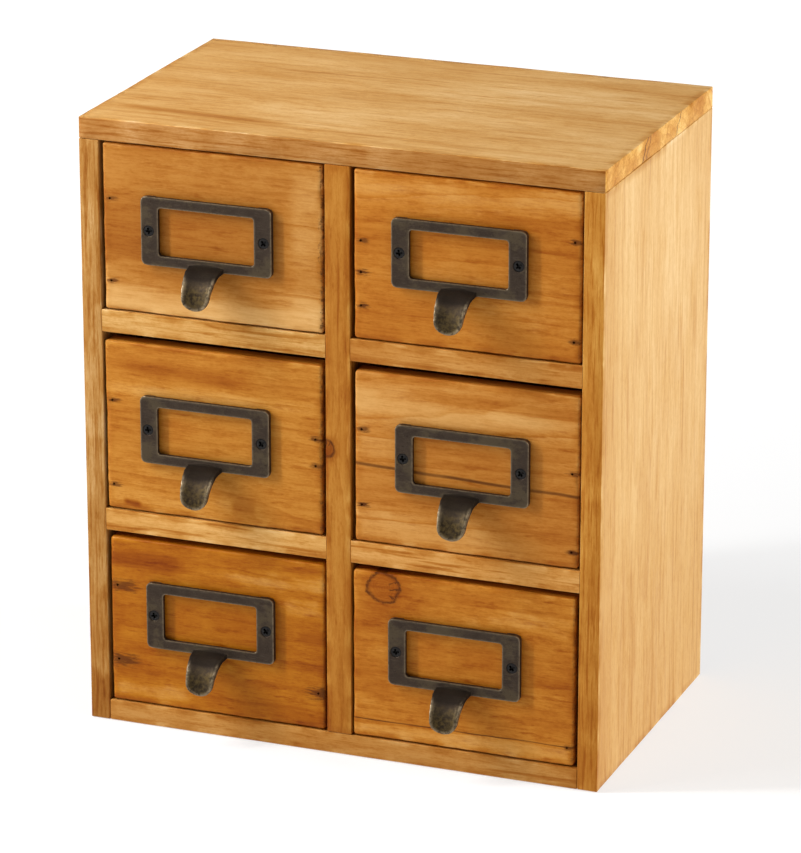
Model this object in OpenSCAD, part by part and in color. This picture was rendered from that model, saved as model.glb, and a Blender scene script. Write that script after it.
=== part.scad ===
// Desktop apothecary cabinet: a pine case with six drawers in two columns.
// Each drawer is nailed together from boards and has a cast pull with a label window.
// The origin is at the centre of the footprint, on the surface that the cabinet stands on.
// +X is to the right, -Y is the front and +Z is up.

/* [Case] */
// Width of the case
case_width = 258; // [230:1:300]
// Depth of the case, from the front edges to the back edges
case_depth = 158; // [130:1:200]
// Height of the case
case_height = 300; // [290:1:320]
// Thickness of the two side boards
side_thickness = 10; // [9:0.5:12]
// Thickness of the top board
top_thickness = 10.5; // [9:0.5:12]
// Thickness of the bottom board
bottom_thickness = 10.5; // [9:0.5:12]
// Thickness of the upright between the two columns
divider_thickness = 12.5; // [11:0.5:14]
// Thickness of the shelves between the rows
shelf_thickness = 11; // [9:0.5:12]
// Clear height of the bottom row of openings
bottom_row_height = 87; // [80:1:90]
// Clear height of the middle row of openings
middle_row_height = 88; // [80:1:90]
// Thickness of the plywood back
back_thickness = 3; // [2:0.5:4]
// How far the back reaches into the rebates round it
rebate_width = 5; // [4:0.5:6]
// Depth of the housings that hold the ends of the shelves
housing_depth = 3; // [2:0.5:4]
// Distance from the front at which the housings stop
housing_stop = 8; // [6:1:12]

/* [Drawers] */
// How much narrower a drawer is than its opening
drawer_play = 2.55; // [1.6:0.05:3]
// Thickness of the drawer fronts
front_thickness = 10; // [8:0.5:12]
// Radius of the eased edges of the drawer fronts
front_edge_radius = 1.6; // [0.5:0.1:2.5]
// How far the closed drawer fronts sit behind the case edges
front_setback = 0.3; // [0:0.1:1]
// Gap under the drawer fronts
gap_below = 0.5; // [0.3:0.1:1]
// Gap over the drawer fronts in the bottom, middle and top rows
gap_above = [3, 4, 0.8]; // [0.5:0.1:5]
// Sideways shift of the left column's drawers in the bottom, middle and top rows
left_shift = [0.3, -0.4, 0.4]; // [-0.6:0.1:0.6]
// Sideways shift of the right column's drawers in the bottom, middle and top rows
right_shift = [-0.5, 0.6, 0.5]; // [-0.6:0.1:0.6]
// How much lower the drawer sides are than the lowest opening
drawer_side_drop = 10; // [8:1:20]
// Thickness of the drawer sides and back
drawer_side_thickness = 7; // [6:0.5:8]
// Running clearance under the drawer sides
running_clearance = 0.3; // [0.1:0.1:0.5]
// Space left between a closed drawer and the back of the case
drawer_end_gap = 1; // [0.5:0.1:3]
// Thickness of the plywood drawer bottoms
drawer_bottom_thickness = 3; // [2:0.5:4]
// Depth of the grooves that hold the drawer bottoms
groove_depth = 3.5; // [2:0.5:4]
// Height of the grooves above the lower edge of the sides
groove_height = 4; // [3:0.5:6]

/* [Label pulls] */
// Width of the frame
pull_width = 65.5; // [60:0.5:70]
// Height of the frame
pull_height = 33; // [30:0.5:36]
// Thickness of the frame
pull_thickness = 2.8; // [2.2:0.1:3.5]
// Corner radius of the frame
pull_corner = 2.5; // [1.5:0.1:4]
// Width of the label window
window_width = 48; // [44:0.5:50]
// Height of the label window
window_height = 23.2; // [20:0.1:24]
// Corner radius of the label window
window_corner = 1.6; // [1:0.1:3]
// Depth of the pocket for the card at the back of the frame
card_pocket_depth = 1; // [0.6:0.1:1.2]
// Distance from the frame's ends to the screws
screw_inset = 3.9; // [3.6:0.1:5]
// Thickness of the finger tab
tab_thickness = 2.4; // [2:0.1:3]
// Distance that the finger tab reaches forward of the frame
tab_reach = 14.8; // [8:0.1:16]
// Distance that the finger tab bends down through
tab_drop = 18.4; // [16:0.1:22]
// Width of the finger tab's rounded end
tab_end_width = 14; // [12:0.5:16]
// Width of the finger tab's neck, just under the frame
tab_neck_width = 15.6; // [14:0.1:18]
// Sideways offset of the left column's pulls in the bottom, middle and top rows
left_pull_x = [-2.7, -3.4, -2.1]; // [-4:0.1:4]
// Upward offset of the left column's pulls in the bottom, middle and top rows
left_pull_z = [5.1, 0.6, 0.7]; // [-4:0.1:6]
// Sideways offset of the right column's pulls in the bottom, middle and top rows
right_pull_x = [-3.7, -1.3, -3]; // [-4:0.1:4]
// Upward offset of the right column's pulls in the bottom, middle and top rows
right_pull_z = [4.1, 2.2, 3.5]; // [-4:0.1:6]

/* [Fixings] */
// Radius of the dowels that join the case
dowel_radius = 2.5; // [2:0.1:3]
// Length of the dowels
dowel_length = 18; // [14:1:20]
// Length of the drawer nails
nail_length = 28; // [20:1:32]
// Radius of the drawer nails
nail_radius = 0.8; // [0.6:0.1:1]
// Radius of the nail heads
nail_head_radius = 1.2; // [1:0.1:1.6]
// Depth to which the nail heads are punched below the wood
nail_set = 0.5; // [0.2:0.1:1]
// Length of the pins that hold the back and the drawer bottoms
pin_length = 13; // [10:1:15]
// Radius of the pins
pin_radius = 0.6; // [0.5:0.1:0.8]
// Length of the pull screws
screw_length = 11; // [8:0.5:11.5]
// Radius of the screw heads
screw_head_radius = 2.7; // [2.2:0.1:2.8]
// Radius of the screw shanks
screw_shank_radius = 1.3; // [1:0.1:1.5]

/* [Hidden] */
$fn = 48;

// Columns, rows and the hands of paired boards
left = 0;
right = 1;
bottom = 0;
middle = 1;
top = 2;
column_names = ["left", "right"];
row_names = ["bottom", "middle", "top"];

CASE_NODES = [
    "top_panel", "left_side_panel", "right_side_panel", "bottom_panel", "centre_divider",
    "left_upper_shelf", "left_lower_shelf", "right_upper_shelf", "right_lower_shelf",
    "back_panel", "carcass_dowels", "back_panel_pins"
];
DRAWER_PARTS = [
    "drawer_front", "drawer_left_side", "drawer_right_side", "drawer_back", "drawer_bottom",
    "drawer_nails", "label_pull", "pull_screws"
];
function node_name(column, row, part) = str(row_names[row], "_", column_names[column], "_", part);

// Colours
case_colour = "#c98d4c";
front_colour = "#c67c2c";
drawer_colour = "#d2a56b";
plywood_colour = "#cfa878";
pull_colour = "#4b4039";
screw_colour = "#1d1a18";
nail_colour = "#5a4a3c";

// A little more than nothing, by which a cutter passes through the face it opens
overcut = 1;

// Planes of the case
front_y = -case_depth / 2;
back_y = case_depth / 2;
back_panel_y = back_y - back_thickness;
inner_x = case_width / 2 - side_thickness;
divider_x = divider_thickness / 2;
underside_of_top = case_height - top_thickness;
opening_width = inner_x - divider_x;

// Floor and height of each row of openings, from the bottom row up
lower_shelf_z = bottom_thickness + bottom_row_height;
middle_row_z = lower_shelf_z + shelf_thickness;
upper_shelf_z = middle_row_z + middle_row_height;
top_row_z = upper_shelf_z + shelf_thickness;
row_floor = [bottom_thickness, middle_row_z, top_row_z];
row_height = [bottom_row_height, middle_row_height, underside_of_top - top_row_z];

// Places of the dowels
dowel_clearance = 0.05;
dowel_end_space = 0.5;
dowel_rows = [-0.32, 0, 0.32];
divider_dowel_rows = [-0.25, 0.25];
dowel_depth_in_top = 7;
dowel_depth_in_side = 6.5;

// Places of the pins round the back
pin_head_radius = 1.4;
pin_head_thickness = 0.5;
side_pin_heights = [0.06, 0.28, 0.5, 0.72, 0.94];
edge_pin_places = [-0.36, -0.12, 0.12, 0.36];
divider_pin_heights = [0.28, 0.72];
back_clearance = 0.2;

// Drawer sizes, and the drawer planes with the drawer closed
drawer_width = opening_width - drawer_play;
drawer_side_height = min(row_height) - drawer_side_drop;
drawer_front_y = front_y + front_setback;
drawer_box_y = drawer_front_y + front_thickness;
drawer_rear_y = back_panel_y - drawer_end_gap;
drawer_back_y = drawer_rear_y - drawer_side_thickness;
groove_clearance = 0.2;
nail_head_thickness = 0.8;
back_nail_length = 22;
back_nail_heights = [0.28, 0.78];
bottom_pin_places = [-0.3, 0.3];

// Heights of the front nails above the lower edge of each drawer front.
// For the left column and then the right, from the bottom row up:
// the nails into the left side and the nails into the right side.
nail_heights = [
    [[[21, 59], [18, 56]], [[12, 54], [34, 47]], [[14, 54], [22, 62]]],
    [[[24, 61], [9, 52]], [[18, 55], [8, 46]], [[16, 32, 47], [10, 57]]]
];

// Finger tab: its centre line is two arcs, first away from the drawer and then back down
tab_bend = 2 * atan(tab_reach / tab_drop);
tab_arcs = tab_drop / sin(tab_bend);
tab_root_radius = 0.15 * tab_arcs;
tab_tip_radius = tab_arcs - tab_root_radius;
tab_start_height = 4.2;
tab_fillet = 6.5;
tab_steps = 14;

// How far the card reaches past the edges of the window
card_lip = 1.8;

// Screws of the pulls
screw_x = pull_width / 2 - screw_inset;
screw_hole_radius = screw_shank_radius + 0.3;
screw_head_gap = 0.1;
screw_sink = 0.15;
screw_head_height = 1.6;
cross_width = 0.8;
cross_length = 3.2;
cross_depth = 1.1;

function column_centre(column) = (column == left ? -1 : 1) * (divider_x + opening_width / 2);
function drawer_shift(column, row) = column == left ? left_shift[row] : right_shift[row];
function drawer_centre(column, row) = column_centre(column) + drawer_shift(column, row);
function drawer_floor(row) = row_floor[row] + running_clearance;
function front_floor(row) = row_floor[row] + gap_below;
function front_height(row) = row_height[row] - gap_below - gap_above[row];
function pull_x(column, row) = drawer_centre(column, row)
    + (column == left ? left_pull_x[row] : right_pull_x[row]);
function pull_z(column, row) = front_floor(row) + front_height(row) / 2
    + (column == left ? left_pull_z[row] : right_pull_z[row]);
function hand(side) = side == left ? -1 : 1;

// Points along an arc, from one angle to another
function arc(centre, radius, from, to) =
    [for (i = [0:tab_steps]) let (a = from + (to - from) * i / tab_steps)
        centre + radius * [cos(a), sin(a)]];

// ---- Shapes used by several pieces ----

// Box given by its low corner and its high corner
module box(low, high) {
    translate(low) cube(high - low);
}

// Rectangle with round corners, centred
module rounded_rectangle(width, height, radius) {
    square([width - 2 * radius, height], center = true);
    square([width, height - 2 * radius], center = true);
    for (x = [-1, 1], y = [-1, 1])
        translate([x * (width / 2 - radius), y * (height / 2 - radius)]) circle(radius);
}

// Rectangle from the origin whose two corners at y = 0 are round
module eased_rectangle(width, depth, radius) {
    translate([0, radius]) square([width, depth - radius]);
    translate([radius, 0]) square([width - 2 * radius, depth]);
    for (x = [radius, width - radius]) translate([x, radius]) circle(radius);
}

// Board whose four front edges are eased, from its low front corner
module eased_board(width, depth, height, radius) {
    intersection() {
        linear_extrude(height) eased_rectangle(width, depth, radius);
        translate([0, 0, height]) rotate([0, 90, 0])
            linear_extrude(width) eased_rectangle(height, depth, radius);
    }
}

// Space that the plywood back takes, which rebates the boards round it
module back_space() {
    box([-inner_x - rebate_width, back_panel_y, bottom_thickness - rebate_width],
        [inner_x + rebate_width, back_y + overcut, underside_of_top + rebate_width]);
}

// A dowel from its middle, along Z, grown by a clearance for its hole
module dowel(growth = 0, extra_length = 0) {
    cylinder(h = dowel_length + extra_length, r = dowel_radius + growth, center = true);
}

// Everything that is drawn at each dowel of the case
module at_dowels() {
    for (y = dowel_rows * case_depth, side = [-1, 1]) {
        translate([side * (inner_x + side_thickness / 2), y,
            underside_of_top + dowel_depth_in_top - dowel_length / 2]) children();
        translate([side * (inner_x + dowel_depth_in_side - dowel_length / 2), y,
            bottom_thickness / 2]) rotate([0, 90, 0]) children();
    }
    for (y = divider_dowel_rows * case_depth) {
        translate([0, y, underside_of_top + dowel_depth_in_top - dowel_length / 2]) children();
        translate([0, y, bottom_thickness - dowel_depth_in_top + dowel_length / 2]) children();
    }
}

// The holes for all the dowels
module dowel_holes() {
    at_dowels() dowel(dowel_clearance, 2 * dowel_end_space);
}

// A nail or pin with its head at the origin, driven towards +Z
module nail(length, radius, head_radius, head_thickness) {
    cylinder(h = length, r = radius);
    cylinder(h = head_thickness, r = head_radius);
}

// Space of one shelf: its body between the uprights, and its ends in the housings
module shelf_shape(column, z) {
    x = column_centre(column);
    half = opening_width / 2;
    box([x - half, front_y, z], [x + half, back_panel_y, z + shelf_thickness]);
    box([x - half - housing_depth, front_y + housing_stop, z],
        [x + half + housing_depth, back_panel_y, z + shelf_thickness]);
}

// The housings of all four shelves
module shelf_housings() {
    for (column = [left, right], z = [lower_shelf_z, upper_shelf_z]) shelf_shape(column, z);
}

// ---- Case ----

module top_panel() {
    color(case_colour) difference() {
        box([-case_width / 2, front_y, underside_of_top], [case_width / 2, back_y, case_height]);
        back_space();
        dowel_holes();
    }
}

module side_panel(side) {
    x = hand(side) * (inner_x + side_thickness / 2);
    color(case_colour) difference() {
        box([x - side_thickness / 2, front_y, 0], [x + side_thickness / 2, back_y, underside_of_top]);
        back_space();
        shelf_housings();
        dowel_holes();
    }
}

module bottom_panel() {
    color(case_colour) difference() {
        box([-inner_x, front_y, 0], [inner_x, back_y, bottom_thickness]);
        back_space();
        dowel_holes();
    }
}

module centre_divider() {
    color(case_colour) difference() {
        box([-divider_x, front_y, bottom_thickness], [divider_x, back_panel_y, underside_of_top]);
        shelf_housings();
        dowel_holes();
    }
}

module shelf(column, z) {
    color(case_colour) shelf_shape(column, z);
}

module back_panel() {
    x = inner_x + rebate_width - back_clearance;
    color(plywood_colour)
        box([-x, back_panel_y, bottom_thickness - rebate_width + back_clearance],
            [x, back_y, underside_of_top + rebate_width - back_clearance]);
}

module carcass_dowels() {
    color(drawer_colour) at_dowels() dowel();
}

// Pins through the edges of the back, into the rebates and the divider
module back_panel_pins() {
    low = bottom_thickness - rebate_width / 2;
    high = underside_of_top + rebate_width / 2;
    edge_x = inner_x + rebate_width / 2;
    color(nail_colour) {
        for (side = [-1, 1], t = side_pin_heights) back_pin(side * edge_x, low + t * (high - low));
        for (x = edge_pin_places * case_width, z = [low, high]) back_pin(x, z);
        for (t = divider_pin_heights) back_pin(0, low + t * (high - low));
    }
}

module back_pin(x, z) {
    translate([x, back_y, z]) rotate([90, 0, 0])
        nail(pin_length, pin_radius, pin_head_radius, pin_head_thickness);
}

// ---- Drawers ----

module drawer_front(column, row) {
    x = drawer_centre(column, row) - drawer_width / 2;
    color(front_colour) difference() {
        translate([x, drawer_front_y, front_floor(row)])
            eased_board(drawer_width, front_thickness, front_height(row), front_edge_radius);
        bottom_space(column, row);
        at_front_nails(column, row) nail_recess();
    }
}

module drawer_side(column, row, side) {
    x = drawer_centre(column, row)
        + hand(side) * (drawer_width - drawer_side_thickness) / 2;
    z = drawer_floor(row);
    color(drawer_colour) difference() {
        box([x - drawer_side_thickness / 2, drawer_box_y, z],
            [x + drawer_side_thickness / 2, drawer_rear_y, z + drawer_side_height]);
        bottom_space(column, row);
        at_back_nails(column, row) nail_recess();
    }
}

module drawer_back(column, row) {
    half = drawer_width / 2 - drawer_side_thickness;
    x = drawer_centre(column, row);
    z = drawer_floor(row);
    color(drawer_colour)
        box([x - half, drawer_back_y, z + groove_height + drawer_bottom_thickness],
            [x + half, drawer_rear_y, z + drawer_side_height]);
}

module drawer_bottom(column, row) {
    color(plywood_colour) bottom_sheet(column, row);
}

// The plywood bottom, grown by a clearance and run out at the rear for its grooves
module bottom_sheet(column, row, growth = 0, past_rear = 0) {
    x = drawer_centre(column, row);
    half = drawer_width / 2 - drawer_side_thickness + groove_depth - groove_clearance + growth;
    z = drawer_floor(row) + groove_height;
    box([x - half, drawer_box_y - groove_depth + groove_clearance - growth, z],
        [x + half, drawer_rear_y + past_rear, z + drawer_bottom_thickness + growth]);
}

module bottom_space(column, row) {
    bottom_sheet(column, row, groove_clearance, overcut);
}

// Children are drawn at each nail through the front, pointing into the drawer side
module at_front_nails(column, row) {
    for (side = [left, right], height = nail_heights[column][row][side])
        translate([
            drawer_centre(column, row) + hand(side) * (drawer_width - drawer_side_thickness) / 2,
            drawer_front_y, front_floor(row) + height]) rotate([-90, 0, 0]) children();
}

// Children are drawn at each nail through a side, pointing into the drawer back
module at_back_nails(column, row) {
    for (side = [left, right], t = back_nail_heights)
        translate([
            drawer_centre(column, row) + hand(side) * drawer_width / 2,
            drawer_back_y + drawer_side_thickness / 2, drawer_floor(row) + t * drawer_side_height])
            rotate([0, -hand(side) * 90, 0]) children();
}

// Hole that the punched nail head leaves in the wood
module nail_recess() {
    translate([0, 0, -overcut]) cylinder(h = overcut + nail_set, r = nail_head_radius + 0.1);
}

module drawer_nails(column, row) {
    back_middle = drawer_back_y + drawer_side_thickness / 2;
    color(nail_colour) {
        at_front_nails(column, row) set_nail(nail_length);
        at_back_nails(column, row) set_nail(back_nail_length);
        for (x = bottom_pin_places * drawer_width)
            translate([drawer_centre(column, row) + x, back_middle, drawer_floor(row) + groove_height])
                nail(pin_length, pin_radius, pin_head_radius, pin_head_thickness);
    }
}

module set_nail(length) {
    translate([0, 0, nail_set]) nail(length, nail_radius, nail_head_radius, nail_head_thickness);
}

// ---- Label pulls ----

// Children are drawn on the face of the drawer front, at the middle of the frame
module at_pull(column, row) {
    translate([pull_x(column, row), drawer_front_y, pull_z(column, row)]) children();
}

module label_pull(column, row) {
    color(pull_colour) at_pull(column, row) {
        difference() {
            rotate([90, 0, 0]) linear_extrude(pull_thickness) difference() {
                rounded_rectangle(pull_width, pull_height, pull_corner);
                rounded_rectangle(window_width, window_height, window_corner);
            }
            card_pocket();
            for (x = [-screw_x, screw_x]) translate([x, 0, 0]) countersunk_hole();
        }
        finger_tab();
    }
}

// Pocket behind the window, open at the top, where a card slides in
module card_pocket() {
    box([-window_width / 2 - card_lip, -card_pocket_depth, -window_height / 2 - card_lip],
        [window_width / 2 + card_lip, overcut, pull_height / 2 + overcut]);
}

module countersunk_hole() {
    rotate([90, 0, 0]) {
        translate([0, 0, -overcut]) cylinder(h = pull_thickness + 2 * overcut, r = screw_hole_radius);
        translate([0, 0, pull_thickness - screw_sink - screw_head_height])
            cylinder(h = screw_head_height, r1 = screw_shank_radius + screw_head_gap,
                r2 = screw_head_radius + screw_head_gap);
        translate([0, 0, pull_thickness - screw_sink])
            cylinder(h = screw_sink + overcut, r = screw_head_radius + screw_head_gap);
    }
}

// The bent finger tab: its side outline cut to its front outline
module finger_tab() {
    translate([0, -pull_thickness, -pull_height / 2]) intersection() {
        rotate([90, 0, -90]) linear_extrude(2 * tab_neck_width, center = true) tab_side_outline();
        translate([0, pull_thickness, 0]) rotate([90, 0, 0])
            linear_extrude(tab_reach + 2 * pull_thickness) tab_front_outline();
    }
}

// Side outline: x is the distance forward of the frame, y the height above its lower edge
module tab_side_outline() {
    half = tab_thickness / 2;
    root = [-half + tab_root_radius, tab_start_height];
    tip = root + [tab_reach - tab_root_radius, -tab_drop];
    centre = tip - [tab_tip_radius, 0];
    polygon(concat(
        arc(root, tab_root_radius - half, 180, 180 + tab_bend),
        arc(centre, tab_tip_radius + half, tab_bend, 0),
        arc(tip, half, 0, -180),
        arc(centre, tab_tip_radius - half, 0, tab_bend),
        arc(root, tab_root_radius + half, 180 + tab_bend, 180)
    ));
}

// Front outline: it narrows from the frame to the neck in two fillets, and its end is round
module tab_front_outline() {
    end = tab_end_width / 2;
    wide = tab_neck_width / 2;
    fillet_height = tab_start_height - tab_fillet;
    low = tab_start_height - tab_drop - tab_thickness / 2 + end;
    polygon(concat(
        arc([-wide - tab_fillet, fillet_height], tab_fillet, 90, 0),
        arc([0, low], end, 180, 360),
        arc([wide + tab_fillet, fillet_height], tab_fillet, 180, 90)
    ));
}

module pull_screws(column, row) {
    color(screw_colour) at_pull(column, row)
        for (x = [-screw_x, screw_x]) translate([x, -pull_thickness + screw_sink, 0])
            rotate([-90, 0, 0]) countersunk_screw();
}

// Countersunk screw with a cross recess, its head at the origin, driven towards +Z
module countersunk_screw() {
    difference() {
        union() {
            cylinder(h = screw_head_height, r1 = screw_head_radius, r2 = screw_shank_radius);
            cylinder(h = screw_length, r = screw_shank_radius);
        }
        for (turn = [0, 90]) rotate(turn)
            translate([-cross_length / 2, -cross_width / 2, -overcut])
                cube([cross_length, cross_width, overcut + cross_depth]);
    }
}

// ---- Nodes ----

top_panel();
side_panel(left);  // left_side_panel
side_panel(right);  // right_side_panel
bottom_panel();
centre_divider();
shelf(left, upper_shelf_z);  // left_upper_shelf
shelf(left, lower_shelf_z);  // left_lower_shelf
shelf(right, upper_shelf_z);  // right_upper_shelf
shelf(right, lower_shelf_z);  // right_lower_shelf
back_panel();
carcass_dowels();
back_panel_pins();

for (c = [left, right], r = [bottom, middle, top]) {
    drawer_front(c, r);
    drawer_side(c, r, left);
    drawer_side(c, r, right);
    drawer_back(c, r);
    drawer_bottom(c, r);
    drawer_nails(c, r);
    label_pull(c, r);
    pull_screws(c, r);
}
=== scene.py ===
import math

import bmesh
import bpy
from mathutils import Matrix, Vector, noise


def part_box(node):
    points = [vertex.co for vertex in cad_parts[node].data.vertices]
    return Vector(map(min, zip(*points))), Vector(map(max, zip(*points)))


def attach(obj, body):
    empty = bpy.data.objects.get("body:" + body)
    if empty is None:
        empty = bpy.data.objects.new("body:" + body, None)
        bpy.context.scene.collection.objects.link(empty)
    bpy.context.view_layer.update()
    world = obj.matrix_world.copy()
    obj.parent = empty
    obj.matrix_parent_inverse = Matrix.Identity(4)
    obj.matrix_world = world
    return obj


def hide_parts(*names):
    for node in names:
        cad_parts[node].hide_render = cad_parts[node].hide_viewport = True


# Looks of a pine apothecary cabinet with six drawers and cast label pulls.
# Every piece is built in the frame's own coordinates, in metres, from the boxes of the CAD nodes.

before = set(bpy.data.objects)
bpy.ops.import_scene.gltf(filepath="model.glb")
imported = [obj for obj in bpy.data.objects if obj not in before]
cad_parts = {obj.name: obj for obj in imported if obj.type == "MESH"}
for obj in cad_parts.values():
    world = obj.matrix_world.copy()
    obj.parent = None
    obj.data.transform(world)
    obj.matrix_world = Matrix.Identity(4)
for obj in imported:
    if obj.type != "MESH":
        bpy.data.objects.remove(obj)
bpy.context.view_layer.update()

MM = 0.001
ROWS = ("top", "middle", "bottom")
COLUMNS = ("left", "right")
CASE_BODY = "cabinet"

# Sizes that the CAD part shares
HOUSING_STOP = 8 * MM
GROOVE_ROOM = 0.2 * MM
PULL_HEIGHT = 33 * MM
PULL_THICKNESS = 2.8 * MM
PULL_CORNER = 2.5 * MM
WINDOW = (48 * MM, 23.2 * MM)
WINDOW_CORNER = 1.6 * MM
CARD_POCKET = (51.6 * MM, 1 * MM, 13.4 * MM)
TAB_THICKNESS = 2.4 * MM
TAB_REACH = 14.8 * MM
TAB_DROP = 18.4 * MM
TAB_START = 4.2 * MM
TAB_END = 14 * MM
TAB_NECK = 15.6 * MM
TAB_FILLET = 6.5 * MM
TAB_HOLLOW = 1.0 * MM
DISHED_SHARE = 0.78
DOME = 5 * MM
TAB_BOTTOM = TAB_START - TAB_DROP - TAB_THICKNESS / 2
TAB_END_CENTRE = TAB_BOTTOM + TAB_END / 2
NECK_HEIGHT = TAB_START - TAB_FILLET
SCREW_INSET = 3.9 * MM
SCREW_HEAD = 2.7 * MM
SCREW_SUNK = 0.3 * MM
SCREW_HOLE = 1.6 * MM

# Sizes that only the looks need: how far cutters reach past a face, the radii of the holes over the
# nail heads outside and inside, the rounding of the drawer fronts and the casting's grain
PAST = 1 * MM
CLOSED_HOLE = (0.7 * MM, 0.55 * MM)
OPEN_HOLE = (1.7 * MM, 1.25 * MM)
FRONT_EDGE = 1.5 * MM
CAST_VOXEL = 0.3 * MM


# ---------------------------------------------------------------- mesh helpers

def placed(name, data):
    """A new object of that data, put in the scene."""
    made = bpy.data.objects.new(name, data)
    bpy.context.scene.collection.objects.link(made)
    return made


def make_object(name, mesh_data, material):
    """A shown object of that mesh, with one material."""
    piece = placed(name, mesh_data)
    piece.data.materials.clear()
    piece.data.materials.append(material)
    return piece


def to_mesh(bm, name, turn=False):
    """Ends a bmesh as a mesh of that name; turn makes its faces look outward first."""
    if turn:
        bmesh.ops.recalc_face_normals(bm, faces=bm.faces)
    mesh = bpy.data.meshes.new(name)
    bm.to_mesh(mesh)
    bm.free()
    return mesh


def finish_mesh(piece, sharp_degrees=50):
    """Smooth shading, broken at the real edges."""
    piece.data.polygons.foreach_set("use_smooth", [True] * len(piece.data.polygons))
    piece.data.set_sharp_from_angle(angle=math.radians(sharp_degrees))


def apply_modifier(piece, modifier):
    """Makes a modifier's result the piece's own mesh."""
    depsgraph = bpy.context.evaluated_depsgraph_get()
    result = bpy.data.meshes.new_from_object(piece.evaluated_get(depsgraph))
    piece.modifiers.remove(modifier)
    old = piece.data
    result.name = piece.name
    piece.data = result
    bpy.data.meshes.remove(old)


def box_mesh(low, high):
    """A plain closed box, used only as a cutter."""
    low, high = Vector(low), Vector(high)
    bm = bmesh.new()
    bmesh.ops.create_cube(bm, size=1)
    place = Matrix.Translation((high + low) / 2) @ Matrix.Diagonal(high - low).to_4x4()
    bmesh.ops.transform(bm, verts=bm.verts, matrix=place)
    return to_mesh(bm, "cutter")


def cylinder_mesh(start, end, radius_1, radius_2, segments=32):
    """A closed cylinder or cone between two points, used as a cutter."""
    bm = bmesh.new()
    start, end = Vector(start), Vector(end)
    axis = end - start
    turn = axis.to_track_quat("Z", "Y").to_matrix().to_4x4()
    bmesh.ops.create_cone(bm, cap_ends=True, segments=segments, radius1=radius_1, radius2=radius_2,
                          depth=axis.length, matrix=Matrix.Translation((start + end) / 2) @ turn)
    return to_mesh(bm, "cutter")


def cut(piece, cutters):
    """Takes the cutters' shapes out of the piece, one after the other."""
    for mesh in cutters:
        tool = placed("cutter", mesh)
        modifier = piece.modifiers.new("cut", "BOOLEAN")
        modifier.operation = "DIFFERENCE"
        modifier.solver = "MANIFOLD"
        modifier.object = tool
        apply_modifier(piece, modifier)
        bpy.data.objects.remove(tool)
        bpy.data.meshes.remove(mesh)


def islands(node):
    """The boxes of the separate solids in a CAD node."""
    bm = bmesh.new()
    bm.from_mesh(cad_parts[node].data)
    bmesh.ops.remove_doubles(bm, verts=bm.verts, dist=0.001 * MM)
    seen, found = set(), []
    for first in bm.verts:
        if first in seen:
            continue
        stack, members = [first], []
        seen.add(first)
        while stack:
            vert = stack.pop()
            members.append(vert.co.copy())
            for edge in vert.link_edges:
                other = edge.other_vert(vert)
                if other not in seen:
                    seen.add(other)
                    stack.append(other)
        low = Vector(min(c[i] for c in members) for i in range(3))
        high = Vector(max(c[i] for c in members) for i in range(3))
        found.append((low, high))
    bm.free()
    return found


def spaced(low, high, radius, step):
    """Places along one side of a board: close together over the rounded edges, even between them."""
    length = high - low
    edge = [radius * share for share in (0, 0.3, 0.65, 1)]
    count = max(1, round((length - 2 * radius) / step))
    middle = [radius + (length - 2 * radius) * i / count for i in range(1, count)]
    return [low + a for a in edge + middle] + [high - a for a in reversed(edge)]


def board_mesh(name, low, high, radius, step, wear=1.0, chips=(0, 0), seed=0):
    """A board with eased edges that vary along their length and faces that aren't quite flat.

    chips says how badly the edges at its low x and high x ends are nibbled."""
    places = [spaced(low[i], high[i], radius, step) for i in range(3)]
    last = [len(p) - 1 for p in places]
    verts, index, faces = [], {}, []
    shift = Vector((seed * 17.3, seed * 5.1, seed * 9.7))

    def vertex(i, j, k):
        key = (i, j, k)
        if key not in index:
            index[key] = len(verts)
            verts.append(eased_point(Vector((places[0][i], places[1][j], places[2][k]))))
        return index[key]

    def eased_point(p):
        dent = 0.06 * MM * wear * (1 + noise.noise(p * 45 - shift))
        near = [min(p[i] - low[i], high[i] - p[i]) < radius * 0.99 for i in range(3)]
        if sum(near) == 1:
            axis = near.index(True)
            moved = p.copy()
            moved[axis] += dent if p[axis] < (low[axis] + high[axis]) / 2 else -dent
            return moved
        worn = noise.noise(p * 70 + shift) + 0.6 * noise.noise(p * 260 + shift)
        local = radius * (1 + 0.35 * wear * max(-1.0, min(1.0, worn)))
        chip = chips[0] if p.x < (low.x + high.x) / 2 else chips[1]
        if chip and near[0]:
            bite = noise.noise(p * 420 - shift) + 0.5 * noise.noise(p * 1100 + shift)
            local *= 1 + chip * max(0.0, bite)
        core = Vector(min(max(p[i], low[i] + local), high[i] - local) for i in range(3))
        out = p - core
        if out.length < 1e-9:
            return p
        return core + out.normalized() * (local - dent)

    for axis in range(3):
        a, b = [i for i in range(3) if i != axis]
        for side in (0, last[axis]):
            for i in range(last[a]):
                for j in range(last[b]):
                    corners = []
                    for da, db in ((0, 0), (1, 0), (1, 1), (0, 1)):
                        key = [0, 0, 0]
                        key[axis], key[a], key[b] = side, i + da, j + db
                        corners.append(vertex(*key))
                    outward = (side > 0) != (axis == 1)
                    faces.append(corners if outward else corners[::-1])
    mesh = bpy.data.meshes.new(name)
    mesh.from_pydata(verts, [], faces)
    mesh.update()
    return mesh


def board(name, body, material, radius=0.5 * MM, step=4 * MM, wear=1.0, chips=(0, 0),
          cutters=(), seed=0):
    """A wooden piece that stands for the CAD node of the same name."""
    low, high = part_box(name)
    mesh = board_mesh(name, low, high, radius, step, wear, chips, seed)
    piece = make_object(name + "_wood", mesh, material)
    cut(piece, cutters)
    finish_mesh(piece)
    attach(piece, body)
    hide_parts(name)


# ------------------------------------------------------------ material helpers

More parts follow.
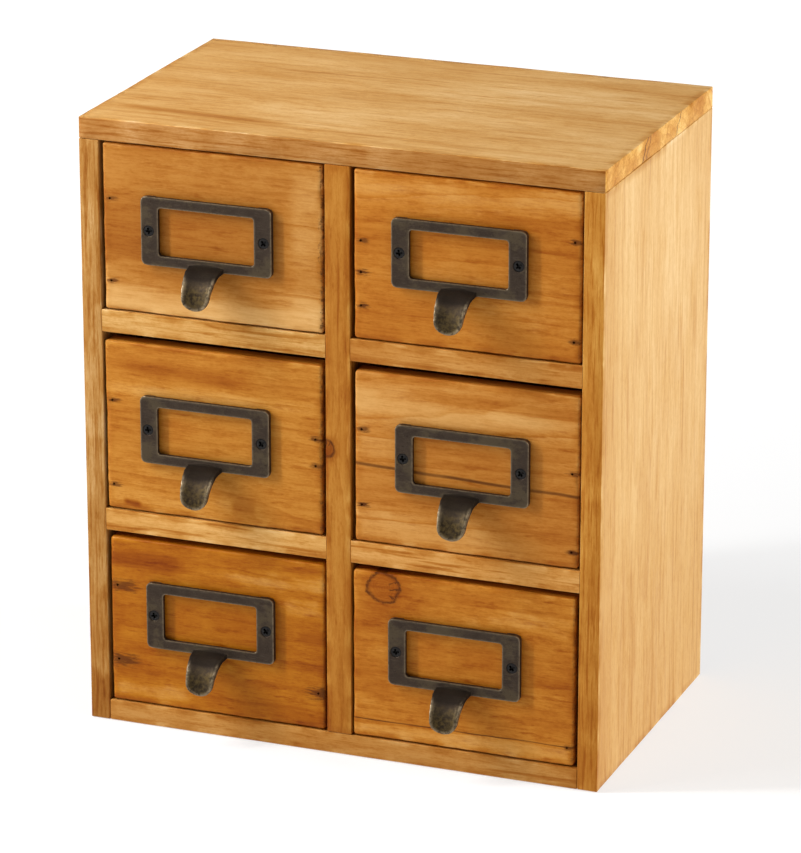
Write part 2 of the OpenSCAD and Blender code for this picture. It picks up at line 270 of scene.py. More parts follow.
class Nodes:
    """Short calls that add and join nodes in one node tree."""

    def __init__(self, tree):
        self.tree = tree

    def add(self, kind, **settings):
        node = self.tree.nodes.new(kind)
        for key, value in settings.items():
            setattr(node, key, value)
        return node

    def feed(self, socket, value):
        if isinstance(value, bpy.types.NodeSocket):
            self.tree.links.new(value, socket)
        elif value is not None:
            socket.default_value = value

    def fill(self, node, given):
        """Feeds the node's inputs by name."""
        for name, value in given.items():
            self.feed(node.inputs[name], value)

    def math(self, operation, a, b=None, c=None, clamp=False):
        node = self.add("ShaderNodeMath", operation=operation, use_clamp=clamp)
        for socket, value in zip(node.inputs, (a, b, c)):
            self.feed(socket, value)
        return node.outputs[0]

    def plus(self, a, b):
        return self.math("ADD", a, b)

    def minus(self, a, b):
        return self.math("SUBTRACT", a, b)

    def times(self, a, b, clamp=False):
        return self.math("MULTIPLY", a, b, clamp=clamp)

    def times_plus(self, a, b, c, clamp=False):
        """a times b, plus c."""
        return self.math("MULTIPLY_ADD", a, b, c, clamp)

    def larger(self, a, b):
        return self.math("MAXIMUM", a, b)

    def magnitude(self, a):
        return self.math("ABSOLUTE", a)

    def length(self, a, b):
        return self.math("SQRT", self.plus(self.times(a, a), self.times(b, b)))

    def total(self, start, *terms):
        """start plus each (value, amount) term's product."""
        for value, amount in terms:
            start = self.times_plus(value, amount, start)
        return start

    def swing(self, value, amount, onto, clamp=False):
        """onto, pushed up and down by amount between the ends of a value from 0 to 1."""
        return self.times_plus(self.minus(value, 0.5), amount, onto, clamp)

    def vector(self, operation, a, b=None, c=None):
        node = self.add("ShaderNodeVectorMath", operation=operation)
        for socket, value in zip(node.inputs, (a, b, c)):
            self.feed(socket, value)
        return node.outputs["Value" if operation == "LENGTH" else 0]

    def place_in_mm(self):
        """Where the shaded point is in the row's frame, in mm."""
        place = self.vector("SCALE", self.add("ShaderNodeTexCoord").outputs["Object"])
        place.node.inputs["Scale"].default_value = 1 / MM
        return place

    def split(self, vector):
        node = self.add("ShaderNodeSeparateXYZ")
        self.feed(node.inputs[0], vector)
        return node.outputs

    def join(self, x, y, z):
        node = self.add("ShaderNodeCombineXYZ")
        for socket, value in zip(node.inputs, (x, y, z)):
            self.feed(socket, value)
        return node.outputs[0]

    def noise(self, vector, scale, offset=(0, 0, 0), detail=2.0, roughness=0.5, distortion=0.0):
        """Noise from 0 to 1 whose cells are 1/scale long.

        scale is one number, (along, across) the grain, or one number for each axis."""
        if not isinstance(scale, tuple):
            scale = (scale, scale)
        scaled = self.vector("MULTIPLY_ADD", vector, (*scale, scale[-1])[:3], offset)
        node = self.add("ShaderNodeTexNoise")
        self.fill(node, {"Vector": scaled, "Scale": 1.0, "Detail": detail, "Roughness": roughness,
                         "Distortion": distortion})
        return node.outputs[0]

    def span(self, value, low, high, to_low=0.0, to_high=1.0):
        """value from low to high becomes to_low to to_high, with soft ends."""
        node = self.add("ShaderNodeMapRange", interpolation_type="SMOOTHSTEP")
        self.fill(node, {"Value": value, "From Min": low, "From Max": high, "To Min": to_low,
                         "To Max": to_high})
        return node.outputs[0]

    def curve(self, value, points):
        """A value read off a broken line of (place, value) points."""
        node = self.add("ShaderNodeValToRGB")
        elements = node.color_ramp.elements
        while len(elements) < len(points):
            elements.new(0.5)
        for element, (place, level) in zip(elements, points):
            element.position = place
            element.color = (level, level, level, 1)
        self.feed(node.inputs[0], value)
        return node.outputs[0]

    def mix(self, factor, a, b, blend="MIX"):
        """A mix of two colours."""
        node = self.add("ShaderNodeMix", data_type="RGBA", blend_type=blend)
        sockets = [s for s in node.inputs if s.enabled]
        for socket, value in zip(sockets, (factor, a, b)):
            if isinstance(value, tuple):
                value = (*value, 1)
            self.feed(socket, value)
        return [s for s in node.outputs if s.enabled][0]

    def attribute(self, name):
        node = self.add("ShaderNodeAttribute", attribute_name=name)
        return node.outputs["Fac"]


def new_material(name):
    material = bpy.data.materials.new(name)
    material.use_nodes = True
    return material, Nodes(material.node_tree), material.node_tree.nodes["Principled BSDF"]


def bump(nodes, shader, layers):
    """Feeds the shader's normal from (height, distance in metres, strength) layers."""
    normal = None
    for height, distance, strength in layers:
        node = nodes.add("ShaderNodeBump")
        nodes.fill(node, {"Strength": strength, "Distance": distance, "Height": height,
                          "Normal": normal})
        normal = node.outputs[0]
    nodes.feed(shader.inputs["Normal"], normal)


GRAIN_INPUTS = ("Place", "Pith v", "Pith w", "Slope v", "Slope w", "Spacing", "Warp", "Push", "Seed")


def grain_group():
    """Growth rings round a pith, fibres, flecks and slow changes of tone, from places in mm."""
    tree = bpy.data.node_groups.new("wood_grain", "ShaderNodeTree")
    n = Nodes(tree)
    for name in GRAIN_INPUTS:
        kind = "NodeSocketVector" if name == "Place" else "NodeSocketFloat"
        tree.interface.new_socket(name, in_out="INPUT", socket_type=kind)
    for name in ("Late", "Fibre", "Fine", "Fleck", "Tone", "Streak"):
        tree.interface.new_socket(name, in_out="OUTPUT", socket_type="NodeSocketFloat")
    given = n.add("NodeGroupInput").outputs
    result = n.add("NodeGroupOutput").inputs

    moved = n.join(*[n.times(given["Seed"], step) for step in (137.0, 31.0, 57.0)])
    place = n.vector("ADD", given["Place"], moved)
    u, v, w = n.split(given["Place"])
    slow = n.noise(place, (0.006, 0.022), detail=2)
    wave = n.noise(place, (0.03, 0.11), (5, 3, 8), detail=3)
    across = n.times_plus(u, given["Slope v"], n.minus(v, given["Pith v"]))
    through = n.times_plus(u, given["Slope w"], n.minus(w, given["Pith w"]))
    radius = n.swing(slow, given["Warp"], n.length(across, through))
    radius = n.swing(wave, n.times(given["Warp"], 0.2), radius)
    radius = n.plus(radius, given["Push"])
    turns = n.math("DIVIDE", radius, given["Spacing"])
    ring = n.math("FRACT", turns)
    late = n.curve(ring, ((0.0, 0.0), (0.45, 0.06), (0.76, 0.45), (0.93, 1.0), (1.0, 0.0)))
    kept = n.add("ShaderNodeTexWhiteNoise", noise_dimensions="1D")
    n.feed(kept.inputs["W"], n.plus(n.math("FLOOR", turns), given["Seed"]))
    late = n.times(late, n.span(kept.outputs["Value"], 0, 1, 0.15, 1.0))
    fade = n.noise(place, (0.011, 0.06), (40, 9, 2), detail=1)
    late = n.times(late, n.span(fade, 0.3, 0.7, 0.35, 1.0))
    fleck = n.noise(place, (0.16, 0.9), (21, 14, 6), detail=2)
    fibre = n.noise(place, (0.030, 0.40), (7, 0, 3), detail=5, roughness=0.62)
    fine = n.noise(place, (0.13, 1.3), (1, 6, 2), detail=4, roughness=0.75)
    tone = n.noise(place, (0.009, 0.038), (60, 22, 12), detail=3, roughness=0.55)
    streak = n.noise(place, (0.016, 0.30), (90, 31, 17), detail=3)
    for name, value in (("Late", late), ("Fibre", fibre), ("Fine", fine), ("Tone", tone),
                        ("Streak", streak), ("Fleck", n.span(fleck, 0.655, 0.74))):
        n.feed(result[name], value)
    return tree


GRAIN = grain_group()

# Which row axes run along the grain, across the board's face and through its thickness
AXES = {"x_face_front": (0, 2, 1), "x_face_up": (0, 1, 2), "z_face_side": (2, 1, 0),
        "z_face_front": (2, 0, 1), "y_face_side": (1, 2, 0), "y_face_up": (1, 0, 2)}

# How fast red, green and blue fade as the wood gets darker
SOAK = (1.0, 1.85, 3.7)
# The lightest wood, and the browns of chipped edges, cracks, smudges, and knots and seams
PALE = (0.60, 0.33, 0.11)
DIRT = (0.085, 0.031, 0.010)
RED_BROWN = (0.075, 0.021, 0.006)
SMUDGE = (0.085, 0.018, 0.002)
KNOT_BROWN = (0.085, 0.019, 0.002)


class Board:
    """Where the shaded point is on a board, in mm from its low corner: u along, v across, w through."""

    def __init__(self, n, node, lie):
        low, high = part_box(node)
        order = AXES[lie]
        parts = n.split(n.add("ShaderNodeTexCoord").outputs["Object"])
        self.size = [(high[a] - low[a]) / MM for a in order]
        self.u, self.v, self.w = [n.times_plus(parts[a], 1 / MM, -low[a] / MM) for a in order]
        self.place = n.join(self.u, self.v, self.w)
        normal = n.split(n.add("ShaderNodeTexCoord").outputs["Normal"])
        self.facing = [n.magnitude(normal[a]) for a in order]


def knot(n, b, ku, kv, radius, fill):
    """How near a knot is, the darkness of its face and halo, and its thin cracked rim."""
    du = n.times(n.minus(b.u, ku), 0.92)
    dv = n.minus(b.v, kv)
    wobble = n.noise(b.place, 0.16, (ku, kv, 0), detail=4, roughness=0.6)
    fray = n.noise(b.place, 0.55, (kv, ku, 0), detail=3, roughness=0.65)
    distance = n.swing(wobble, radius * 0.6, n.length(du, dv))
    distance = n.swing(fray, radius * 0.12, distance)
    near = n.math("EXPONENT", n.times(n.times(distance, distance), -1 / (2 * (radius * 1.5) ** 2)))
    face = n.times_plus(n.math("FRACT", n.times(distance, 1 / 1.25)), 0.14, fill)
    face = n.times(face, n.span(distance, radius * 0.9, radius * 1.05, 1, 0))
    halo = n.times(n.span(distance, radius * 0.8, radius), n.span(distance, radius, radius * 2, 1, 0))
    face = n.times_plus(halo, 0.22, face)
    rim = n.span(n.magnitude(n.minus(distance, radius * 0.95)), 0.2, 0.6 + radius * 0.10, 1, 0)
    rim = n.times(rim, n.span(fray, 0.34, 0.6, 1.0, 0.55))
    crooked = n.swing(fray, radius * 0.5, dv)
    for lean, height in ((-0.55, 0.05), (0.5, -0.3), (-0.1, -0.1)):
        split = n.magnitude(n.times_plus(du, lean, n.minus(crooked, radius * height)))
        split = n.times(n.span(split, 0.1, 0.1 + radius * 0.08, 1, 0),
                        n.span(du, radius * 0.25, radius * 0.45))
        split = n.times(split, n.span(distance, radius * 0.95, radius * 1.1, 0.9, 0))
        rim = n.larger(rim, split)
    return near, face, rim


def band(n, b, tone, fibre, bu, bv, half_u, half_v, tilt):
    """1 inside a long soft patch whose sides follow the grain."""
    along = n.minus(b.u, bu)
    across = n.minus(b.v, n.times_plus(along, tilt, bv))
    across = n.swing(tone, half_v * 1.5, across)
    across = n.swing(fibre, half_v * 0.5, across)
    return n.times(n.span(n.magnitude(along), half_u * 0.5, half_u * 1.1, 1, 0),
                   n.span(n.magnitude(across), half_v * 0.05, half_v * 1.45, 1, 0))


def chipped(n, b, from_end, strength):
    """The ragged, dirty edge at one end of the board."""
    ragged = n.noise(b.place, (0.3, 0.32), (8, 3, 50), detail=4, roughness=0.75)
    reach = n.times_plus(n.span(ragged, 0.42, 0.78), 5.0 * strength, 0.1)
    mask = n.span(n.minus(from_end, reach), -1.2, 0.5, 1, 0)
    return n.times(mask, min(0.8, 0.35 + 0.6 * strength))


def seam(n, b, patchy, v0, tilt, width, depth):
    """A dark line along the board that wanders a little."""
    wander = n.noise(b.place, (0.03, 0.0), (v0, 2, 1), detail=3)
    line = n.swing(wander, 2.0, n.times_plus(b.u, tilt, v0))
    gap = n.magnitude(n.minus(b.v, line))
    mask = n.times(n.span(gap, width * 0.2, width, 1, 0), n.span(patchy, 0.3, 0.6, 0.6, 1))
    return n.times(mask, depth)


def crack(n, b, end, v0, strength):
    """A crooked crack through the thickness, seen in the end grain."""
    wander = n.noise(b.place, (0.0, 0.0, 0.35), (v0, 5, 1), detail=4)
    line = n.swing(wander, 9.0, n.times_plus(b.w, 0.8, v0))
    return n.times(n.span(n.magnitude(n.minus(b.v, line)), 0.2, 1.0, strength, 0), end)


def stain(n, b, su, sv, radius, strength):
    """A ragged smudge, drawn out along the grain."""
    ragged = n.noise(b.place, (0.16, 1.1), (su, sv, 4), detail=4, roughness=0.7)
    distance = n.length(n.times(n.minus(b.u, su), 0.42), n.minus(b.v, sv))
    distance = n.swing(ragged, radius * 3.6, distance)
    return n.times(n.span(distance, radius * 0.4, radius * 1.45, 1, 0), strength)


def tinted(base, tint):
    return tuple(c * t for c, t in zip(base, tint))


def wood(name, node, lie, base, seed, spacing=4.0, pith=(0, -70), slope=(0.02, 0.05), warp=18.0,
         late_share=0.17, grain=1.0, mottled=0.1, dirty=0.4, streak=0.13, tone=0.18, fleck=0.06,
         rough=0.44, shine=0.2, edge_tone=(1, 1, 1), end_tone=(0.85, 0.75, 0.6),
         chips=(0, 0), knots=(), stains=(), seams=(), cracks=(), bands=()):
    """Waxed softwood of the mean colour base.

    spacing is the growth rings', pith is where their middle lies across and below the board, and slope
    how fast it drifts. late_share, grain, mottled, dirty, streak, tone and fleck are the strengths of
    the parts of the figure; chips says how dirty the two ends are.

    Places are in mm along (u) and across (v) the board from its low corner. A knot is
    (u, v, radius, push on the rings, fill), a stain (u, v, radius, strength), a seam
    (v at u = 0, tilt, width, depth), a crack in the end grain (v, strength) and a band
    (u, v, half length, half width, tilt, density), where a density below 0 is paler."""
    material, n, shader = new_material(name)
    b = Board(n, node, lie)
    place, size = b.place, b.size
    end, side = (n.span(facing, 0.55, 0.9) for facing in b.facing[:2])
    found = [knot(n, b, ku, kv, radius, fill) for ku, kv, radius, _, fill in knots]
    push = 0.0
    for (near, _, _), entry in zip(found, knots):
        push = n.times_plus(near, entry[3], push)

    group = n.add("ShaderNodeGroup", node_tree=GRAIN)
    given = (place, size[1] / 2 + pith[0], pith[1], *slope, spacing, warp, push, float(seed))
    n.fill(group, dict(zip(GRAIN_INPUTS, given)))
    late, fibre, fine = (group.outputs[k] for k in ("Late", "Fibre", "Fine"))
    patchy = n.noise(place, 0.045, (3, 70, 9), detail=3)

    # density: how much darker and redder than its mean the wood is at each point
    changes = group.outputs["Tone"]
    density = n.total(n.times(n.minus(late, 0.3), late_share),
                      (n.span(changes, 0.3, 0.7, -0.5, 0.5), tone),
                      *[(band(n, b, changes, fibre, *shape), amount) for *shape, amount in bands])
    for _, face, _ in found:
        density = n.plus(density, face)
    mottle = n.noise(place, (0.055, 0.10), (33, 44, 5), detail=5, roughness=0.66)
    density = n.swing(mottle, mottled * 2.6, density)

    # Handled edges: a darker border that comes and goes, fainter on the narrow faces
    from_ends, from_sides = (n.math("MINIMUM", at, n.minus(whole, at))
                             for at, whole in zip((b.u, b.v), size))
    from_edge = n.math("MINIMUM", from_ends, from_sides)
    faint = n.times_plus(side, -0.6, 1.0)
    border = n.times(n.span(from_edge, 0.2, 5.0, 1, 0), n.span(patchy, 0.4, 0.62))
    rubbed = n.times(n.span(from_edge, 0.3, 3.0, 1, 0), n.span(patchy, 0.36, 0.52, 1, 0))

    # The narrow faces and the end grain take the finish differently
    pores = n.noise(place, (1.1, 1.6), (13, 2, 7), detail=3)
    narrow = n.noise(place, (0.040, 0.02, 0.8), (3, 60, 5), detail=6, roughness=0.62)
    density = n.total(density, (n.times(border, faint), 0.24), (n.times(rubbed, faint), -0.16),
                      (n.times(n.minus(pores, 0.5), end), 0.5),
                      (n.times(n.minus(late, 0.3), end), 0.35),
                      (n.times(n.span(narrow, 0.48, 0.66), side), 0.34))
    colour = n.mix(end, n.mix(side, base, tinted(base, edge_tone)), tinted(base, end_tone))
    pale = n.times(n.span(density, -0.5, -0.08, 0.55, 0), n.minus(1.0, end))
    pale = n.times(pale, n.times_plus(side, -0.8, 1.0))

    # close: the fine grain and the grime in it, which never turn the wood pale
    speck = n.noise(place, (0.45, 0.95), (71, 12, 30), detail=3, roughness=0.7)
    close = n.total(n.times(n.minus(fibre, 0.5), grain * 0.42),
                    (n.minus(fine, 0.5), grain * 0.60), (n.minus(speck, 0.5), grain * 0.34))
    grime = n.noise(place, (0.055, 0.27), (15, 90, 41), detail=6, roughness=0.70)
    close = n.total(n.math("SMOOTH_MAX", close, -0.05, 0.10),
                    (n.span(grime, 0.50, 0.76), dirty * 0.85),
                    (n.span(group.outputs["Streak"], 0.56, 0.68), streak),
                    (group.outputs["Fleck"], fleck))
    density = n.plus(density, close)
    soaked = n.join(*[n.math("EXPONENT", n.times(density, -k)) for k in SOAK])
    colour = n.mix(1.0, colour, soaked, "MULTIPLY")
    colour = n.mix(pale, colour, PALE)

    ends = (b.u, n.minus(size[0], b.u))
    marks = [(chipped(n, b, at, strength), DIRT) for at, strength in zip(ends, chips) if strength]
    marks += [(seam(n, b, patchy, *entry), KNOT_BROWN) for entry in seams]
    marks += [(crack(n, b, end, *entry), RED_BROWN) for entry in cracks]
    marks += [(rim, KNOT_BROWN) for _, _, rim in found]
    marks += [(stain(n, b, *entry), SMUDGE) for entry in stains]
    for mask, brown in marks:
        colour = n.mix(mask, colour, brown)

    gloss = n.total(rough, (late, -0.06), (n.minus(fibre, 0.5), 0.18), (end, 0.14))
    gloss = n.swing(patchy, 0.12, gloss, clamp=True)
    n.fill(shader, {"Base Color": colour, "Roughness": gloss, "Specular IOR Level": shine,
                    "Specular Tint": (1.0, 0.72, 0.40, 1)})
    bump(n, shader, ((late, 0.05 * MM, 0.5), (fibre, 0.10 * MM, 0.5), (fine, 0.04 * MM, 0.5),
                     (group.outputs["Fleck"], -0.08 * MM, 0.4), (patchy, 0.5 * MM, 0.3)))
    return material


def plywood(name, node, lie, seed):
    """Rotary-cut veneer: wide wild figure on the faces and the plies' stripes on the edges."""
    material, n, shader = new_material(name)
    b = Board(n, node, lie)
    place = n.join(n.plus(b.u, seed * 113.0), n.plus(b.v, seed * 47.0), b.w)
    wild = n.noise(place, (0.007, 0.02, 0.0), detail=2, distortion=0.35)
    rings = n.math("FRACT", n.times(wild, 17.0))
    late = n.curve(rings, ((0.0, 0.05), (0.5, 0.15), (0.85, 0.8), (0.96, 1.0), (1.0, 0.1)))
    fibre = n.noise(place, (0.05, 1.1), detail=3, roughness=0.6)
    fleck = n.span(n.noise(place, (0.09, 1.3), (9, 4, 1), detail=1), 0.66, 0.75)
    colour = n.mix(n.times(late, 0.55), (0.70, 0.50, 0.29), (0.50, 0.31, 0.15))
    colour = n.mix(n.span(n.noise(place, (0.012, 0.03), detail=3), 0.4, 0.65, 0, 0.5), colour,
                   (0.60, 0.39, 0.21))
    colour = n.mix(n.span(fibre, 0.3, 0.75, 0.3, 0), colour, (0.40, 0.24, 0.12))
    colour = n.mix(n.times(fleck, 0.5), colour, (0.25, 0.13, 0.06))
    edge = n.span(b.facing[2], 0.4, 0.7, 1, 0)
    ply = n.span(n.math("PINGPONG", b.w, 1.0), 0.4, 0.6)
    colour = n.mix(edge, colour, n.mix(ply, (0.30, 0.17, 0.08), (0.62, 0.43, 0.24)))
    n.fill(shader, {"Base Color": colour, "Roughness": n.span(fibre, 0.25, 0.75, 0.68, 0.55),
                    "Specular IOR Level": 0.3})
    bump(n, shader, ((late, 0.05 * MM, 0.5), (fibre, 0.12 * MM, 0.6), (fleck, -0.15 * MM, 0.5)))
    return material


def aged_bronze():
    """Dark patinated casting: blackest at the tab's root, rubbed on its edges, brassy at its tip, with
    a painted highlight along the tab's rims.
    """
    material, n, shader = new_material("aged_bronze")
    place = n.place_in_mm()
    cloud = n.noise(place, 0.16, detail=4, roughness=0.6)
    blotch = n.noise(place, 0.55, (2, 5, 9), detail=4, roughness=0.65)
    grit = n.noise(place, 1.9, (4, 8, 1), detail=3, roughness=0.7)
    scratch = n.noise(place, (0.2, 3.2), (9, 1, 5), detail=2)
    wear, tip, root, rim = (n.attribute(name) for name in ("wear", "tip", "root", "rim"))
    colour = n.mix(n.span(cloud, 0.3, 0.7), (0.037, 0.025, 0.018), (0.049, 0.034, 0.024))
    patina = n.noise(place, (0.05, 0.07), (31, 4, 17), detail=5, roughness=0.7)
    for layer, start, full, strength, tint in ((patina, 0.48, 0.62, 0.8, (0.078, 0.057, 0.033)),
                                               (grit, 0.54, 0.74, 0.6, (0.110, 0.082, 0.052)),
                                               (blotch, 0.58, 0.72, 0.55, (0.020, 0.013, 0.009)),
                                               (scratch, 0.55, 0.78, 0.5, (0.10, 0.075, 0.055))):
        colour = n.mix(n.span(layer, start, full, 0, strength), colour, tint)
    colour = n.mix(n.times(root, 0.8), colour, (0.016, 0.011, 0.007))
    brassy = n.mix(n.span(blotch, 0.36, 0.64), (0.024, 0.016, 0.008), (0.080, 0.053, 0.018))
    brassy = n.mix(n.span(grit, 0.55, 0.78, 0, 0.45), brassy, (0.15, 0.108, 0.052))
    colour = n.mix(n.times(tip, n.span(cloud, 0.3, 0.6, 0.6, 1.0)), colour, brassy)
    rub_and_highlight = n.times(wear, n.span(blotch, 0.3, 0.60, 0.4, 1.15), clamp=True)
    rub_and_highlight = n.times(rub_and_highlight, n.span(root, 0.2, 0.9, 1.0, 0.1))
    # The tab's rims: rubbed metal plus a painted highlight, carried in the base colour
    rub_and_highlight = n.larger(rub_and_highlight, n.times(rim, n.span(blotch, 0.36, 0.58, 0.25, 0.9)))
    colour = n.mix(n.times(rub_and_highlight, 0.65), colour, (0.33, 0.255, 0.16))
    gloss = n.total(n.span(grit, 0.3, 0.7, 0.44, 0.58), (rub_and_highlight, -0.16), (tip, 0.10), (root, 0.22))
    n.fill(shader, {"Base Color": colour, "Metallic": 0.9, "Roughness": gloss})
    bump(n, shader, ((cloud, 0.16 * MM, 0.4), (blotch, 0.10 * MM, 0.4), (grit, 0.06 * MM, 0.5),
                     (scratch, 0.02 * MM, 0.3)))
    return material


def black_screw():
    """Black oxide steel with a little brown bloom and rubbed slots."""
    material, n, shader = new_material("black_screw")
    place = n.place_in_mm()
    cloud = n.noise(place, 0.9, detail=3)
    grit = n.noise(place, 4, (3, 3, 3), detail=2)
    colour = n.mix(n.span(cloud, 0.4, 0.7), (0.006, 0.005, 0.005), (0.014, 0.011, 0.009))
    colour = n.mix(n.span(grit, 0.62, 0.78, 0, 0.4), colour, (0.05, 0.042, 0.034))
    n.fill(shader, {"Base Color": colour, "Metallic": 0.6,
                    "Roughness": n.span(grit, 0.3, 0.7, 0.38, 0.55)})
    bump(n, shader, ((grit, 0.03 * MM, 0.5), (cloud, 0.05 * MM, 0.3)))
    return material


def tarnished_steel():
    """Dull nail heads with brown tarnish."""
    material, n, shader = new_material("tarnished_steel")
    place = n.place_in_mm()
    cloud = n.noise(place, 0.8, detail=3)
    grit = n.noise(place, 5, detail=2)
    colour = n.mix(n.span(cloud, 0.35, 0.65), (0.13, 0.07, 0.035), (0.08, 0.036, 0.016))
    n.fill(shader, {"Base Color": colour, "Metallic": 0.7,
                    "Roughness": n.span(grit, 0.3, 0.7, 0.4, 0.65)})
    bump(n, shader, ((grit, 0.03 * MM, 0.5),))
    return material


# ------------------------------------------------------------------- the case

def back_cutter():
    """The rebates that the plywood back lies in, open at the rear."""
    low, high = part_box("back_panel")
    room = 0.2 * MM
    return box_mesh((low.x - room, low.y, low.z - room),
                    (high.x + room, high.y + 2 * PAST, high.z + room))


def housing_cutters(*shelves):
    """The stopped housings that hold the ends of the shelves."""
    return [box_mesh((low.x, low.y + HOUSING_STOP, low.z), (high.x, high.y + 0.01 * MM, high.z))
            for low, high in map(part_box, shelves)]


def shelf_notches(shelf):
    """Cuts the shelf's front corners back to the width between the uprights."""
    low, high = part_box(shelf)
    upright = "left_side_panel" if "left" in shelf else "centre_divider"
    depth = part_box(upright)[1].x - low.x
    front, stop = low.y - PAST, low.y + HOUSING_STOP
    return [box_mesh((low.x - PAST, front, low.z - PAST), (low.x + depth, stop, high.z + PAST)),
            box_mesh((high.x - depth, front, low.z - PAST), (high.x + PAST, stop, high.z + PAST))]


# What most boards of the case share, what the shelves add to it, and what each board looks like, in
# the words of wood()
CASE_WOOD = dict(mottled=0.07, late_share=0.3, streak=0.3)
SHELF = dict(lie="x_face_front", slope=(0.015, 0.03))
CASE_WOODS = {
    "top_panel": dict(
        lie="x_face_up", base=(0.590, 0.322, 0.099), seed=3, spacing=5, pith=(-20, -90),
        slope=(0.02, 0.0), edge_tone=(0.68, 0.56, 0.48), end_tone=(0.99, 0.85, 0.48),
        late_share=0.14, bands=((52, 24, 46, 3.4, -0.05, 0.30), (150, 17, 100, 2.2, -0.02, 0.12),
        (0, 70, 90, 70, 0, 0.08), (130, 143, 200, 16, 0, 0.06)), rough=0.40, wear=2.2, streak=0.12,
        cracks=((52, 0.9), (57, 0.6), (101, 0.6)), dirty=0.2),
    # Its wide band darkens the whole board towards the bottom: painted shade
    "left_side_panel": dict(
        lie="z_face_side", base=(0.415, 0.203, 0.054), seed=5, spacing=4, pith=(120, -25),
        slope=(0.012, 0.0), bands=((0, 70, 150, 200, 0, 0.16),)),
    # Its two wide bands are painted shade towards the bottom and painted light near the top; the narrow
    # one darkens the wood along its front edge
    "right_side_panel": dict(
        lie="z_face_side", base=(0.625, 0.360, 0.116), seed=8, spacing=5, pith=(-20, -18),
        slope=(0.012, 0.0), edge_tone=(0.86, 0.67, 0.35), late_share=0.16, tone=0.1, streak=0.14,
        bands=((0, 70, 130, 200, 0, 0.1), (290, 70, 120, 200, 0, -0.05),
        (150, 6, 300, 16, 0, 0.13)), mottled=0.03, grain=0.8, dirty=0.12),
    "bottom_panel": dict(
        lie="x_face_front", base=(0.45, 0.195, 0.04), seed=11, spacing=3.5, pith=(20, -40),
        slope=(0.02, 0.02), late_share=0.34),
    # Its band at the bottom is painted shade towards the bottom; the one at the top darkens it near the
    # top
    "centre_divider": dict(
        lie="z_face_front", base=(0.410, 0.156, 0.019), seed=14, spacing=3.2, pith=(-30, -40),
        slope=(0.01, 0.01), streak=0.28,
        knots=((141.9, 0.6, 4.0, 3, 0.45),), bands=((0, 6, 120, 20, 0, 0.12),
        (279, 6, 80, 20, 0, 0.06))),
    "left_upper_shelf": dict(SHELF, base=(0.535, 0.278, 0.076), seed=17, spacing=3, pith=(30, -30)),
    "left_lower_shelf": dict(SHELF, base=(0.53, 0.250, 0.056), seed=18, spacing=3.4, pith=(20, -40),
                             late_share=0.34, streak=0.35),
    "right_upper_shelf": dict(SHELF, base=(0.44, 0.175, 0.03), seed=19, spacing=3.2,
                              pith=(-25, -30), late_share=0.34, streak=0.32),
    "right_lower_shelf": dict(SHELF, base=(0.53, 0.235, 0.050), seed=20, spacing=3, pith=(25, -50),
                              late_share=0.4, streak=0.4),
}
BARE_WOOD = (0.60, 0.395, 0.195)


def build_case():
    shelves = [name for name in CASE_WOODS if name.endswith("shelf")]
    housed = {"left_side_panel": shelves[:2], "right_side_panel": shelves[2:],
              "centre_divider": shelves}
    for name, own in CASE_WOODS.items():
        settings = {**CASE_WOOD, **own}
        cutters = [back_cutter()] if name.endswith("panel") else []
        cutters += shelf_notches(name) if name in shelves else housing_cutters(*housed.get(name, ()))
        wear = settings.pop("wear", 1.0)
        material = wood(name + "_wood", name, **settings)
        board(name, CASE_BODY, material, cutters=cutters, wear=wear,
              seed=settings["seed"])
    back = plywood("back_wood", "back_panel", "z_face_front", seed=2)
    board("back_panel", CASE_BODY, back, radius=0.3 * MM, step=6 * MM, wear=0.6, seed=12)


# ---------------------------------------------------------------- the drawers

# Nails that the front's wood has closed over, each as (on the right, in the upper half)
CLOSED_OVER = {"top_left": ((True, True), (True, False)), "bottom_left": ((True, True),),
               "bottom_right": ((False, True), (False, False), (True, True))}


def front_nails(drawer):
    """The CAD nails whose marks show on a drawer front: those that start at the front."""
    low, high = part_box(drawer + "_front")
    hidden = CLOSED_OVER.get(drawer.removesuffix("_drawer"), ())
    shown = []
    for box in islands(drawer + "_nails"):
        place = (box[0].x > (low.x + high.x) / 2, box[0].z > (low.z + high.z) / 2)
        if box[0].y < low.y + 2 * MM and place not in hidden:
            shown.append(box)
    return shown


def side_nails(drawer, hand):
    """The nails through a drawer side into the back, from its CAD nails: the long ones across."""
    low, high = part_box(drawer + "_nails")
    on_left = hand == "left"
    return [(a, b) for a, b in islands(drawer + "_nails")
            if b.x - a.x > 10 * MM and ((a.x + b.x) / 2 < (low.x + high.x) / 2) == on_left]


def nail_holes(drawer):
    """The holes over the punched heads of the front nails, which the wood has partly closed."""
    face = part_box(drawer + "_front")[0].y
    made = []
    for low, high in front_nails(drawer):
        x, z = (low.x + high.x) / 2, (low.z + high.z) / 2
        made.append(cylinder_mesh((x, face - PAST / 2, z), (x, low.y, z), *CLOSED_HOLE, 20))
    return made


def side_holes(drawer, hand):
    """The holes over the punched heads of the nails into the back."""
    low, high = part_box(drawer + "_" + hand + "_side")
    outside = low.x - PAST / 2 if hand == "left" else high.x + PAST / 2
    made = []
    for a, b in side_nails(drawer, hand):
        y, z = (a.y + b.y) / 2, (a.z + b.z) / 2
        head = a.x if hand == "left" else b.x
        made.append(cylinder_mesh((outside, y, z), (head, y, z), *OPEN_HOLE, 20))
    return made


def groove(drawer):
    """The grooves round the plywood bottom, open at the rear."""
    low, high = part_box(drawer + "_bottom")
    return box_mesh((low.x - GROOVE_ROOM, low.y - GROOVE_ROOM, low.z),
                    (high.x + GROOVE_ROOM, high.y + 2 * PAST, high.z + GROOVE_ROOM))


